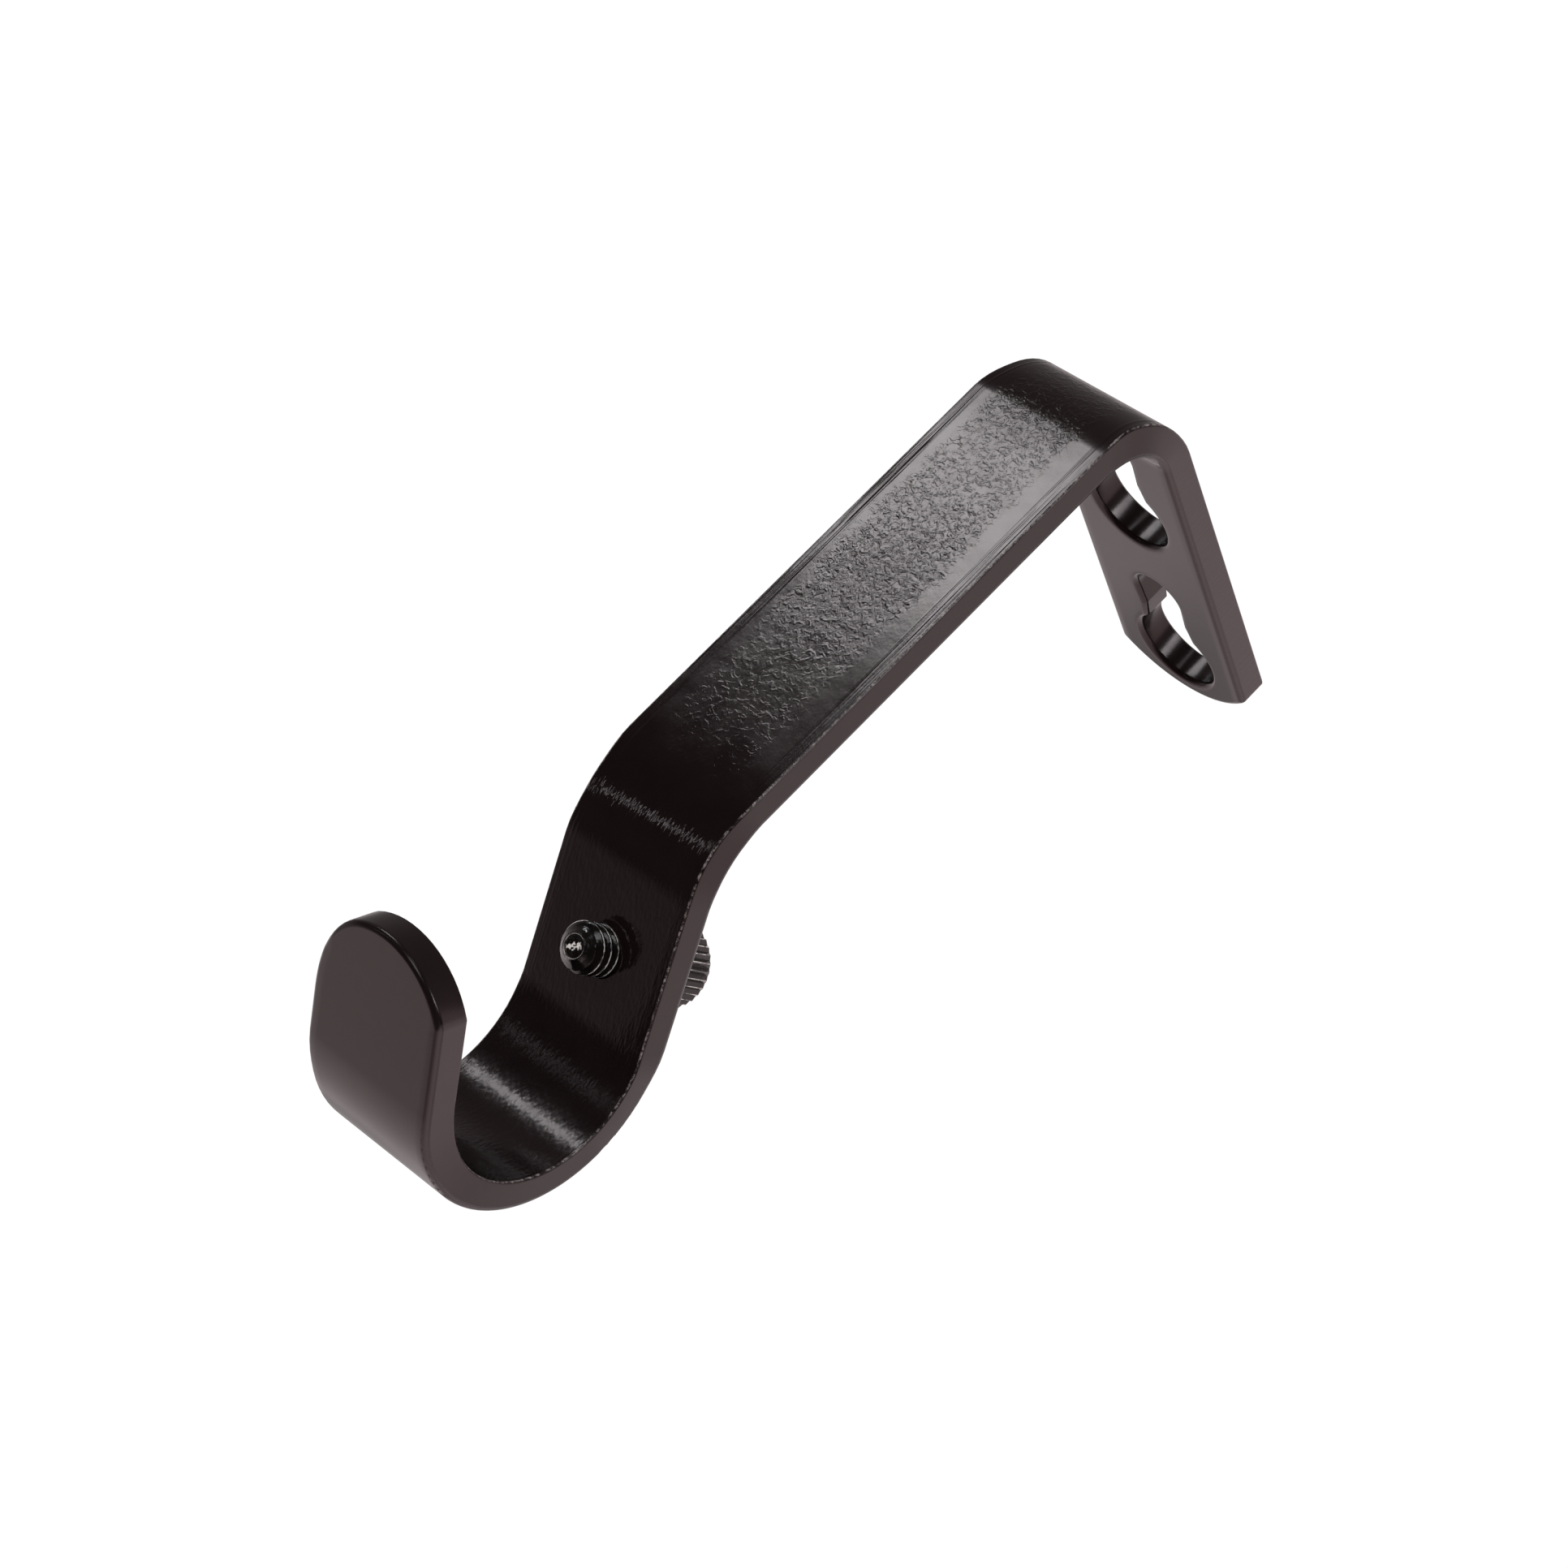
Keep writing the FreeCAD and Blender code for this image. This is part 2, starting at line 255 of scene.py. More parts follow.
past_white = 1.05       # a little over 1, so that the ground stays white to its edges
rays = add_node(tree, "ShaderNodeLightPath")
paper = add_node(tree, "ShaderNodeBsdfDiffuse", {"Color": linear("#f4f2f2")})
# The coat mirrors this painted light and these painted shadows in place of lit paper.
mirrored = add_node(tree, "ShaderNodeEmission",
                    {"Color": linear("#fff2f3"), "Strength": painted_floor_light})
plain = add_node(tree, "ShaderNodeEmission",
                 {"Color": linear("#ffffff"), "Strength": past_white})
surface = paper.outputs[0]
for ray, share, seen in (("Is Glossy Ray", 0.85, mirrored), ("Is Camera Ray", 0.93, plain)):
    surface = add_node(tree, "ShaderNodeMixShader",
                       {0: combine(tree, "MULTIPLY", rays.outputs[ray], share),
                        1: surface, 2: seen.outputs[0]}).outputs[0]
tree.links.new(surface, output.inputs["Surface"])
floor_mesh.materials.append(material)
print("nodes in the floor:", len(tree.nodes))

# %% [markdown]
# ## The room round it
# The camera sees plain white. In the coat the room is mirrored as a pale band low down,
# brighter on the room side, with a dim wall behind. Diffuse light gets an even fill.

# %% Surroundings
world = bpy.data.worlds.new("studio")
world.use_nodes = True
tree = world.node_tree
tree.nodes.clear()
output = add_node(tree, "ShaderNodeOutputWorld")
way = add_node(tree, "ShaderNodeTexCoord")
way_axes = add_node(tree, "ShaderNodeSeparateXYZ", {"Vector": way.outputs["Generated"]})
bands = {}
for name, axis, low, high, before, after, step_shape in (
        ("low_down", "Z", -0.15, 0.36, 1.0, 0.0, "LINEAR"),
        ("in_front", "Y", -0.55, 0.25, 0.60, 0.14, "SMOOTHSTEP"),
        ("behind", "Y", 0.0, 0.35, 0.03, 0.12, "LINEAR"),
        ("below_roof", "Z", 0.5, 0.75, 1.0, 0.25, "LINEAR")):
    bands[name] = add_node(tree, "ShaderNodeMapRange",
                           {"Value": way_axes.outputs[axis], "From Min": low, "From Max": high,
                            "To Min": before, "To Max": after},
                           interpolation_type=step_shape).outputs["Result"]
room_glow = combine(tree, "ADD",
                    combine(tree, "MULTIPLY", bands["low_down"], bands["in_front"]),
                    combine(tree, "MULTIPLY", bands["behind"], bands["below_roof"]))
rays = add_node(tree, "ShaderNodeLightPath")
surface = add_node(tree, "ShaderNodeBackground",
                   {"Color": linear("#fff6f6"), "Strength": room_glow}).outputs[0]
for ray, colour, strength in (("Is Diffuse Ray", "#fff6f6", 0.55),
                              ("Is Camera Ray", "#ffffff", past_white)):
    seen = add_node(tree, "ShaderNodeBackground",
                    {"Color": linear(colour), "Strength": strength})
    surface = add_node(tree, "ShaderNodeMixShader",
                       {0: rays.outputs[ray], 1: surface, 2: seen.outputs[0]}).outputs[0]
tree.links.new(surface, output.inputs["Surface"])
bpy.context.scene.world = world
bpy.context.scene.view_settings.view_transform = "Standard"
print("nodes in the room:", len(tree.nodes))

# %% [markdown]
# ## The bar's own map
# The finish follows the bar round its bends: lines run along it, the rolled edges keep
# their distance from the middle. So every point of the bar needs three numbers: how far
# along the bar it is, how far across, and how far above its centre line. They come from
# walking the side view, plate first, and are kept on the mesh as an attribute. That lays
# a pattern on at its true size everywhere, which an unwrapped picture would have to fit.

# %% The side view of the bar
thickness = 4.0
bend_start_z = 22.65
plate_end_z = cad_low.z / MM
tongue_length = 17.5
runs = [  # kind, length or centre-line radius in mm, turn in degrees
    ("line", bend_start_z - plate_end_z, 0.0),  # wall plate
    ("bend", 9.5, -90.0),                       # top bend
    ("line", 56.5, 0.0),                        # arm
    ("bend", 16.0, -45.0),                      # front bend
    ("line", 17.5, 0.0),                        # stem
    ("bend", 15.5, 169.0),                      # hook
    ("line", tongue_length, 0.0)]               # tongue
spans = []
u, z, heading, walked = thickness / 2.0, plate_end_z, 90.0, 0.0
for kind, size, turn in runs:
    if kind == "line":
        span = {"kind": kind, "start": (u, z), "heading": heading, "along": walked,
                "length": size}
        u += size * math.cos(math.radians(heading))
        z += size * math.sin(math.radians(heading))
    else:
        side = 1.0 if turn > 0 else -1.0
        normal = math.radians(heading + 90.0 * side)
        centre = (u + size * math.cos(normal), z + size * math.sin(normal))
        first = heading - 90.0 * side
        last = math.radians(first + turn)
        span = {"kind": kind, "centre": centre, "radius": size, "side": side, "first": first,
                "turn": abs(turn), "along": walked, "length": size * math.radians(abs(turn))}
        u = centre[0] + size * math.cos(last)
        z = centre[1] + size * math.sin(last)
        heading += turn
    walked += span["length"]
    spans.append(span)
stem, tongue = spans[4], spans[6]
print("bar", round(walked, 1), "mm long when flat, spans", len(spans))

# %% Where a point lies on the bar
def place_on_bar(points):
    """Along, across and above in mm, the bend's curvature, and the share of its span."""
    u = -points[:, 1] / MM
    z = points[:, 2] / MM
    best = np.full(len(points), np.inf)
    along, above, bent, share = (np.zeros(len(points)) for _ in range(4))
    for span in spans:
        if span["kind"] == "line":
            h = math.radians(span["heading"])
            du = u - span["start"][0]
            dz = z - span["start"][1]
            run = du * math.cos(h) + dz * math.sin(h)
            off = -du * math.sin(h) + dz * math.cos(h)
            curvature = 0.0
        else:
            du = u - span["centre"][0]
            dz = z - span["centre"][1]
            off = span["side"] * (span["radius"] - np.hypot(du, dz))
            middle = span["turn"] / 2.0
            angle = (np.degrees(np.arctan2(dz, du)) - span["first"]) * span["side"]
            angle = (angle - middle + 180.0) % 360.0 - 180.0 + middle
            run = np.radians(angle) * span["radius"]
            curvature = span["side"] / span["radius"]
        beyond = np.maximum(0.0, np.maximum(-run, run - span["length"]))
        outside = np.maximum(0.0, np.abs(off) - thickness / 2.0)
        score = np.hypot(beyond, outside) + np.abs(off) * 1e-3
        nearer = score < best
        best = np.where(nearer, score, best)
        along = np.where(nearer, span["along"] + run, along)
        above = np.where(nearer, off, above)
        bent = np.where(nearer, curvature, bent)
        share = np.where(nearer, run / span["length"], share)
    return along, points[:, 0] / MM, above, bent, share


arm_top = np.array([[0.0, -40.0, 34.15]]) * MM
print("top of the arm, 40 mm out:", [round(float(v[0]), 2) for v in place_on_bar(arm_top)[:3]])

# %% [markdown]
# ## The bent bar
# The real bar is sheared, punched and bent cold. The solid stays as it is; a copy of its
# mesh gets two small changes and stands for it. On the real bar the tongue's left
# shoulder is rounder than the right one, so the copy first gets rows of points there.

# %% Copy the bar and cut rows into its tongue
cad_bar = frame["nodes"]["bracket_strip"]
bar_build = bmesh.new()
bar_build.from_mesh(cad_bar.data)
bmesh.ops.remove_doubles(bar_build, verts=bar_build.verts, dist=0.001 * MM)

round_start = 5.0   # mm up the tongue, where the rounding begins
row_step = 0.4
last_row = 11.1     # the solid's own shoulder; above it the mesh is fine enough
slack = 0.01        # a point this near to the tongue's foot is on it
tongue_heading = math.radians(tongue["heading"])
tongue_way = Vector((0.0, -math.cos(tongue_heading), math.sin(tongue_heading)))
tongue_side = Vector((0.0, math.sin(tongue_heading), math.cos(tongue_heading)))
tongue_foot = Vector((0.0, -tongue["start"][0], tongue["start"][1])) * MM
for row in range(int((last_row - round_start) / row_step) + 1):
    on_tongue = [v for v in bar_build.verts
                 if (v.co - tongue_foot).dot(tongue_way) > -slack * MM
                 and abs((v.co - tongue_foot).dot(tongue_side)) < (thickness / 2.0 + 0.1) * MM]
    chosen = set(on_tongue)
    faces = [f for f in bar_build.faces if all(v in chosen for v in f.verts)]
    edges = [e for e in bar_build.edges if all(v in chosen for v in e.verts)]
    row_height = (round_start + row * row_step) * MM
    bmesh.ops.bisect_plane(bar_build, geom=on_tongue + edges + faces, dist=1e-7,
                           plane_co=tongue_foot + tongue_way * row_height,
                           plane_no=tongue_way)
bar_mesh = bpy.data.meshes.new("bent_bar")
bar_build.to_mesh(bar_mesh)
bar_build.free()
bar = bpy.data.objects.new("bent_bar", bar_mesh)
bpy.context.scene.collection.objects.link(bar)
print("bar mesh", len(bar_mesh.vertices), "points, cut in", row + 1, "rows")

# %% [markdown]
# Bending squeezes the metal on the inside of a bend and stretches it on the outside. The
# stretched side becomes a little narrower and the squeezed side a little wider. A narrow
# bar would give half of the stretch sideways; a flat one holds itself back, so a quarter is
# used, and the spread is held to 1 % so that the bar keeps its real size.

# %% Spread the edges at the bends
count = len(bar_mesh.vertices)
places = np.zeros(count * 3)
bar_mesh.vertices.foreach_get("co", places)
places = places.reshape(-1, 3)
along, across, above, bent, share = place_on_bar(places)

sideways_give = 0.25
most_wider = 0.01
fade_mm = 5.0       # the spread fades out towards each end of a bend
span_length = np.zeros(count)
for span in spans:
    inside = ((along >= span["along"] - 1e-6)
              & (along <= span["along"] + span["length"] + 1e-6))
    span_length = np.where(inside, span["length"], span_length)
from_span_end = np.minimum(share * span_length, (1.0 - share) * span_length)
fade = np.clip(from_span_end / fade_mm, 0.0, 1.0)
fade = fade * fade * (3.0 - 2.0 * fade)
stretch = -bent * above * fade
wider = np.minimum(-sideways_give * stretch, most_wider)
places[:, 0] *= 1.0 + wider
print("narrowest", round(float(wider.min()) * 100, 1), "% at the bends")

# %% Round the tongue's left shoulder
half_width = 10.0
tip_sag = 6.4       # the tip's arc rises this much from the sides to the middle
tip_r = (half_width ** 2 + tip_sag ** 2) / (2.0 * tip_sag)
roundness = 2.3     # 2 would be an ellipse, more is squarer
up_tongue = np.clip(along - tongue["along"], 0.0, tongue_length - 0.001)
up_arc = np.clip(up_tongue - (tongue_length - tip_r), 0.0, tip_r)
old_half = np.minimum(half_width, np.sqrt(tip_r ** 2 - up_arc ** 2))
round_share = np.clip((up_tongue - round_start) / (tongue_length - round_start), 0.0, 1.0)
new_half = half_width * (1.0 - round_share ** roundness) ** (1.0 / roundness)
squeeze = np.minimum(new_half / np.maximum(old_half, 0.01), 1.0)
places[:, 0] *= np.where((across < 0.0) & (up_tongue > round_start), squeeze, 1.0)
bar_mesh.vertices.foreach_set("co", places.ravel())
drawn_in = float((old_half * (1.0 - squeeze)).max())
print("left shoulder drawn in by up to", round(drawn_in, 2), "mm")

# %% Keep the map on the mesh, and shade it smooth between its real edges
store = bar_mesh.attributes.new("bar_place", "FLOAT_VECTOR", "POINT")
store.data.foreach_set("vector",
                       np.stack([along, across, above], 1).astype(np.float32).ravel())
if "custom_normal" in bar_mesh.attributes:
    bar_mesh.attributes.remove(bar_mesh.attributes["custom_normal"])
bar_mesh.polygons.foreach_set("use_smooth", [True] * len(bar_mesh.polygons))
bar_mesh.edges.foreach_set("use_edge_sharp", [False] * len(bar_mesh.edges))
bar_mesh.set_sharp_from_angle(angle=math.radians(28.0))
bar_mesh.update()
evened = bar.modifiers.new("evened_normals", "WEIGHTED_NORMAL")
evened.keep_sharp = True
evened.weight = 80
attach(bar, "bracket")
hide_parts("bracket_strip")
print("map from", round(float(along.min()), 1), "to", round(float(along.max()), 1), "mm")

# %% [markdown]
# ## Powder coat
# The bar is steel under a dark bronze powder coat: polyester powder, sprayed dry and baked
# until it flows together. It is a satin plastic skin about 0.08 mm thick, so it is shaded
# as a plastic (IOR 1.5, no metal) with a brown-black body colour. What makes it read as
# powder coat is its relief, so most of the work goes into one height map in real
# millimetres. Soft steps along, across and above the bar say where each part of it lies.

# %% Where things are on the bar
coat, tree, output = new_material("dark_bronze_powder_coat")
place = add_node(tree, "ShaderNodeAttribute", attribute_name="bar_place")
axes = add_node(tree, "ShaderNodeSeparateXYZ", {"Vector": place.outputs["Vector"]})
along_bar, across_bar, above_bar = (axes.outputs[name] for name in "XYZ")
spot = add_node(tree, "ShaderNodeTexCoord")
in_mm = add_node(tree, "ShaderNodeVectorMath", {0: spot.outputs["Object"], 1: (PER_MM,) * 3},
                 operation="MULTIPLY").outputs[0]
from_middle = add_node(tree, "ShaderNodeMath", {0: across_bar}, operation="ABSOLUTE").outputs[0]

# The plate ends 48 mm along the bar, the arm 120, the stem 150 and the hook 195. The faces
# lie 2 mm above and below the centre line, and the sides 10 mm off the middle.
wall_plate = combine(tree, "MULTIPLY", (along_bar, 44.0, 52.0, 1.0, 0.0))
tongue_end = combine(tree, "MULTIPLY", (along_bar, 180.0, 194.0, 0.0, 1.0))
room_face = combine(tree, "MULTIPLY", (above_bar, -1.6, -1.2, 1.0, 0.0))
inner_face = combine(tree, "MULTIPLY", (above_bar, 1.6, 1.95, 0.0, 1.0))
edge_band = combine(tree, "MULTIPLY", (from_middle, 8.0, 8.5, 0.0, 1.0))
cut_side = combine(tree, "MULTIPLY", (from_middle, 9.6, 9.9, 0.0, 1.0))
print("masks made:", len(tree.nodes), "nodes")

# %% [markdown]
# Each pattern below is a noise stretched to a size in millimetres, along, across and above
# the bar. The coat's real grain is about 0.1 mm, and the lines and combed strokes stand
# about as close; those three are drawn some four times too coarse here, or they would not
# show in the picture. The wrinkles, the orange peel and the specks of chipped coat and
# painted highlight on the edges have their real size.

# %% The patterns
pattern_sizes = {  # how it is laid on, size in mm, noise settings
    "peel": (in_mm, (2.2, 2.2, 2.2), {"Detail": 2.0, "Roughness": 0.5}),
    "wrinkles": (in_mm, (0.85, 0.85, 0.85),
                 {"Detail": 2.0, "Roughness": 0.5, "Distortion": 0.8}),
    "grain": (in_mm, (0.38, 0.38, 0.38), {"Detail": 2.0}),
    "lines": (place.outputs["Vector"], (30.0, 0.42, 0.42), {"Detail": 2.0, "Roughness": 0.5}),
    "comb": (place.outputs["Vector"], (1.1, 0.38, 0.38), {"Detail": 1.0}),
    "cut_marks": (place.outputs["Vector"], (0.45, 1.0, 3.5), {"Detail": 2.0}),
    "mottle": (in_mm, (4.0, 4.0, 4.0), {"Detail": 4.0, "Roughness": 0.6}),
    "chip_and_highlight_specks": (place.outputs["Vector"], (1.0 / 1.35, 1.0 / 1.5, 1.0 / 1.5),  # 0.7 mm
              {"Detail": 9.0, "Roughness": 0.82})}
pattern = {}
for name, (laid_on, size, settings) in pattern_sizes.items():
    if size[0] == size[1]:
        settings["Vector"] = laid_on
        settings["Scale"] = 1.0 / size[0]
    else:
        settings["Vector"] = add_node(tree, "ShaderNodeVectorMath",
                                      {0: laid_on, 1: tuple(1.0 / v for v in size)},
                                      operation="MULTIPLY").outputs[0]
        settings["Scale"] = 1.0
    pattern[name] = add_node(tree, "ShaderNodeTexNoise", settings).outputs["Fac"]
print("patterns", sorted(pattern))

# %% [markdown]
# On the broad inner face the baking powder has shrunk into fine wrinkles: a relief with
# shallow creases. They are deepest in the middle of the arm, run out raggedly before the
# edges and are gone in the hook, which the bending smoothed.

# %% Wrinkles on the arm
wrinkle_depth_along = (  # from, to in mm along the bar, factor before and after
    (50.0, 56.0, 0.0, 1.0),     # none on the wall plate
    (60.0, 68.0, 1.8, 0.65),    # strong on the top bend
    (70.0, 88.0, 1.0, 1.7),     # growing towards the middle of the arm
    (88.0, 106.0, 1.0, 0.26),   # flatter towards its end
    (110.0, 124.0, 1.0, 0.15),  # nearly flat on the front bend
    (156.0, 168.0, 1.0, 0.0))   # none in the hook
wrinkle_shift = 0.6     # mm that the wrinkled band lies left of the middle
wrinkle_edge = (5.4, 7.4)   # mm from its middle, where the wrinkles run out
wrinkle_fray = 3.0      # mm that this edge wanders
off_band = add_node(tree, "ShaderNodeMath",
                    {0: combine(tree, "ADD", across_bar, wrinkle_shift)},
                    operation="ABSOLUTE").outputs[0]
centred = {name: combine(tree, "SUBTRACT", pattern[name], 0.5)
           for name in ("peel", "wrinkles", "comb", "lines")}
ragged = combine(tree, "ADD", off_band,
                 combine(tree, "MULTIPLY", centred["peel"], wrinkle_fray))
wrinkled = combine(tree, "MULTIPLY", inner_face, (ragged, *wrinkle_edge, 1.0, 0.0),
                   *[(along_bar, *row) for row in wrinkle_depth_along])

crease_half = 0.08      # of the noise's range on each side of a crease
crease_depth = 0.006
fold_height = 0.060
wave_height = 0.022
from_crease = add_node(tree, "ShaderNodeMath", {0: centred["wrinkles"]},
                       operation="ABSOLUTE").outputs[0]
relief = combine(tree, "ADD", (from_crease, 0.0, crease_half, -crease_depth, 0.0),
                 combine(tree, "MULTIPLY", centred["wrinkles"], fold_height),
                 combine(tree, "MULTIPLY", centred["peel"], wave_height))
wrinkle_part = combine(tree, "MULTIPLY", wrinkled, relief)
print("wrinkles up to", fold_height, "mm high")

# %% [markdown]
# All over, the skin has a slow orange-peel wave and a fine grain. From the front bend on,
# the bending tool has combed short strokes along the inner face, which fray the mirrored
# lamps. The rolled edges carry long lines from the rolling mill, and the wall plate's
# sheared sides show the marks of the cut across them. Heights are in millimetres.

# %% Grain, combs, edge lines and cut marks
peel_height = 0.008
grain_height = 0.0008
cut_mark_height = 0.020
edge_line_height = 0.15
grain_inside = combine(tree, "MULTIPLY", inner_face, (along_bar, 112.0, 124.0, 0.0015, 0.002))
comb_height = combine(tree, "MULTIPLY", inner_face,
                      (along_bar, 114.0, 122.0, 0.0, 0.020),    # starts at the front bend
                      (along_bar, 146.0, 156.0, 1.0, 2.1))      # twice as deep in the hook
line_height = combine(tree, "MULTIPLY", edge_band, inner_face, edge_line_height,
                      (along_bar, 114.0, 128.0, 1.0, 0.3),      # pressed flat on the stem
                      (across_bar, -1.0, 1.0, 1.0, 0.65),       # fainter on the right edge
                      (along_bar, 150.0, 160.0, 1.0, 2.4))      # drawn out in the hook
surface_parts = [
    combine(tree, "MULTIPLY", pattern["peel"], peel_height),
    combine(tree, "MULTIPLY", pattern["grain"], combine(tree, "ADD", grain_inside, grain_height)),
    combine(tree, "MULTIPLY", centred["comb"], comb_height),
    combine(tree, "MULTIPLY", centred["lines"], line_height),
    combine(tree, "MULTIPLY", pattern["cut_marks"], cut_side, wall_plate, cut_mark_height)]
print("surface parts", len(surface_parts))

# %% [markdown]
# Rolled bar is not quite flat near its edges: the last 1.7 mm fall away, more on the room
# side. Punching the keyholes has also drawn the metal down in a narrow lip round them. The
# lip needs the distance from the keyhole's outline, which is two circles and a neck; the
# smooth minimum joins them without a kink. The lip is kept off the hole's own wall by
# asking that the surface faces out of the plate.

# %% Rolled edges
roll_start = 8.3        # mm off the middle
roll_room_side = 0.060  # fall in mm, 1 mm past that line; it grows with the square
past_edge = combine(tree, "MAXIMUM", combine(tree, "SUBTRACT", from_middle, roll_start), 0.0)
roll_inside = combine(tree, "MULTIPLY", inner_face, (across_bar, -1.0, 1.0, -0.030, -0.010))
roll_depth = combine(tree, "ADD", roll_inside,
                     combine(tree, "MULTIPLY", room_face, -roll_room_side))
roll_part = combine(tree, "MULTIPLY", past_edge, past_edge, roll_depth)
print("edges fall from", roll_start, "mm off the middle")

# %% Lip round the keyholes
keyhole_pitch = 27.2
first_entry = 7.8       # centre of the lower entry, along the bar
below_entry = 6.8       # each keyhole's stretch of bar starts this far below its entry
entry_r = 5.6
slot_end_up = 10.75
slot_end_r = 3.35
neck_up = 7.0           # the neck's middle, above the entry
neck_half_width = 3.15
neck_half_height = 3.6
lip_width = 1.2
lip_drop = 0.11
lip_inmost = 1.3        # the lip's slope stops growing this far in
join_round = 0.9
folded = combine(tree, "SUBTRACT", along_bar, first_entry - below_entry)
folded = combine(tree, "FLOORED_MODULO", folded, keyhole_pitch)
folded = combine(tree, "SUBTRACT", folded, below_entry)
outlines = []
for up_slot, radius in ((0.0, entry_r), (slot_end_up, slot_end_r)):
    off = combine(tree, "SUBTRACT", folded, up_slot)
    square = combine(tree, "ADD", combine(tree, "MULTIPLY", off, off),
                     combine(tree, "MULTIPLY", across_bar, across_bar))
    reach = add_node(tree, "ShaderNodeMath", {0: square}, operation="SQRT").outputs[0]
    outlines.append(combine(tree, "SUBTRACT", reach, radius))
from_neck = add_node(tree, "ShaderNodeMath", {0: combine(tree, "SUBTRACT", folded, neck_up)},
                     operation="ABSOLUTE").outputs[0]
neck = combine(tree, "MAXIMUM", combine(tree, "SUBTRACT", from_middle, neck_half_width),
               combine(tree, "SUBTRACT", from_neck, neck_half_height))
from_hole = add_node(tree, "ShaderNodeMath",
                     {0: combine(tree, "MINIMUM", *outlines), 1: neck, 2: join_round},
                     operation="SMOOTH_MIN").outputs[0]

facing = add_node(tree, "ShaderNodeNewGeometry").outputs["True Normal"]
facing_axes = add_node(tree, "ShaderNodeSeparateXYZ", {"Vector": facing})
facing_wall = add_node(tree, "ShaderNodeMath", {0: facing_axes.outputs["Y"]},
                       operation="ABSOLUTE").outputs[0]
lip = combine(tree, "SUBTRACT", 1.0, combine(tree, "DIVIDE", from_hole, lip_width))
lip = combine(tree, "MAXIMUM", combine(tree, "MINIMUM", lip, lip_inmost), 0.0)
lip_part = combine(tree, "MULTIPLY", lip, lip, -lip_drop, room_face,
                   (facing_wall, 0.6, 0.9, 0.0, 1.0), wall_plate)
print("lip", lip_width, "mm wide round holes", keyhole_pitch, "mm apart")

# %% One height for all of it
height = combine(tree, "ADD", wrinkle_part, *surface_parts, roll_part, lip_part)
bump = add_node(tree, "ShaderNodeBump", {"Height": height, "Strength": 1.0, "Distance": MM})
print("nodes so far:", len(tree.nodes))

# %% [markdown]
# The body colour is a brown-black that varies slowly. Pale specks are painted along the
# sharp upper corner of the sheared sides: partly coat chipped off by handling, partly a
# painted highlight of the lamps on that corner. The sheared sides take a thin, rough coat,
# which looks browner and greyer on the plate and the tongue.

# %% Colour, wear and the painted highlight on the edges
body = add_node(tree, "ShaderNodeMix",
                {"Factor": pattern["mottle"], "A": linear("#160f10"), "B": linear("#1e1515")},
                data_type="RGBA").outputs["Result"]
# Painted highlight and wear: pale specks along the sharp upper corner stand partly for chipped
# coat, partly for the lamps' glint on that corner.
chip_and_highlight_strength = 0.7
edge_wear_and_highlight = combine(tree, "MULTIPLY", (from_middle, 9.69, 9.77, 0.0, 1.0),
               (from_middle, 9.89, 9.97, 1.0, 0.0), (above_bar, 1.75, 1.85, 0.0, 1.0),
               (pattern["chip_and_highlight_specks"], 0.47, 0.62, 0.0, 1.0), chip_and_highlight_strength)
thin_on_tongue = 0.8
thin_coat = combine(tree, "ADD", (along_bar, 49.0, 57.0, 1.0, 0.0),
                    combine(tree, "MULTIPLY", tongue_end, thin_on_tongue))
thin_coat = combine(tree, "MULTIPLY", thin_coat, cut_side)
toned = body
for share_of_it, shade in ((edge_wear_and_highlight, "#b3a9a6"), (thin_coat, "#463d3e")):
    toned = add_node(tree, "ShaderNodeMix",
                     {"Factor": share_of_it, "A": toned, "B": linear(shade)},
                     data_type="RGBA").outputs["Result"]
print("body", [round(v, 3) for v in linear("#1e1515")[:3]], "at its lightest")

# %% [markdown]
# The skin is smooth enough to mirror a lamp as a soft patch. It is rougher on the sheared
# sides, in the holes, in the hook and in a hazy stretch after the top bend, and it is
# polished where the front bend was pressed.

# %% Roughness and the shader
cut_side_rough = 0.17
hole_rough = 0.08
in_hole = combine(tree, "MULTIPLY", wall_plate, (from_hole, 0.02, 0.15, 1.0, 0.0))
polished = combine(tree, "MULTIPLY", inner_face, (along_bar, 112.0, 122.0, 0.0, 0.070),
                   (along_bar, 134.0, 146.0, 1.0, 0.0))
hazy = combine(tree, "MULTIPLY", (along_bar, 52.0, 60.0, 0.0, 0.05),
               (along_bar, 62.0, 70.0, 1.0, 0.0), inner_face)
rough = combine(tree, "ADD", (pattern["mottle"], 0.3, 0.7, 0.11, 0.145),
                combine(tree, "MULTIPLY", cut_side, cut_side_rough),
                combine(tree, "MULTIPLY", in_hole, hole_rough),
                (along_bar, 150.0, 162.0, 0.0, 0.085),          # duller in the hook
                hazy, combine(tree, "MULTIPLY", polished, -1.0))
coat_shader = add_node(tree, "ShaderNodeBsdfPrincipled",
                       {"Base Color": toned, "Roughness": rough,
                        "Normal": bump.outputs["Normal"], "IOR": 1.5,
                        "Specular Tint": (1.0, 0.76, 0.78, 1.0)})
tree.links.new(coat_shader.outputs[0], output.inputs["Surface"])
bar_mesh.materials.clear()
bar_mesh.materials.append(coat)
print("nodes in the powder coat:", len(tree.nodes))

# %% [markdown]
# ## The thumb screw
# A thumb screw is turned from steel rod: a knurled head, a short neck, a coarse thread and
# a blunt cone that bites on the pole. The construction draws the thread as a plain
# cylinder, because a helix is heavy there. Here each surface is a grid of rings round the
# screw's axis: the radius of a point follows the thread's wave along the axis and round
# it, cut off by the cone at the tip. The axis comes from the joint, so the screw turns
# true wherever the construction puts it.

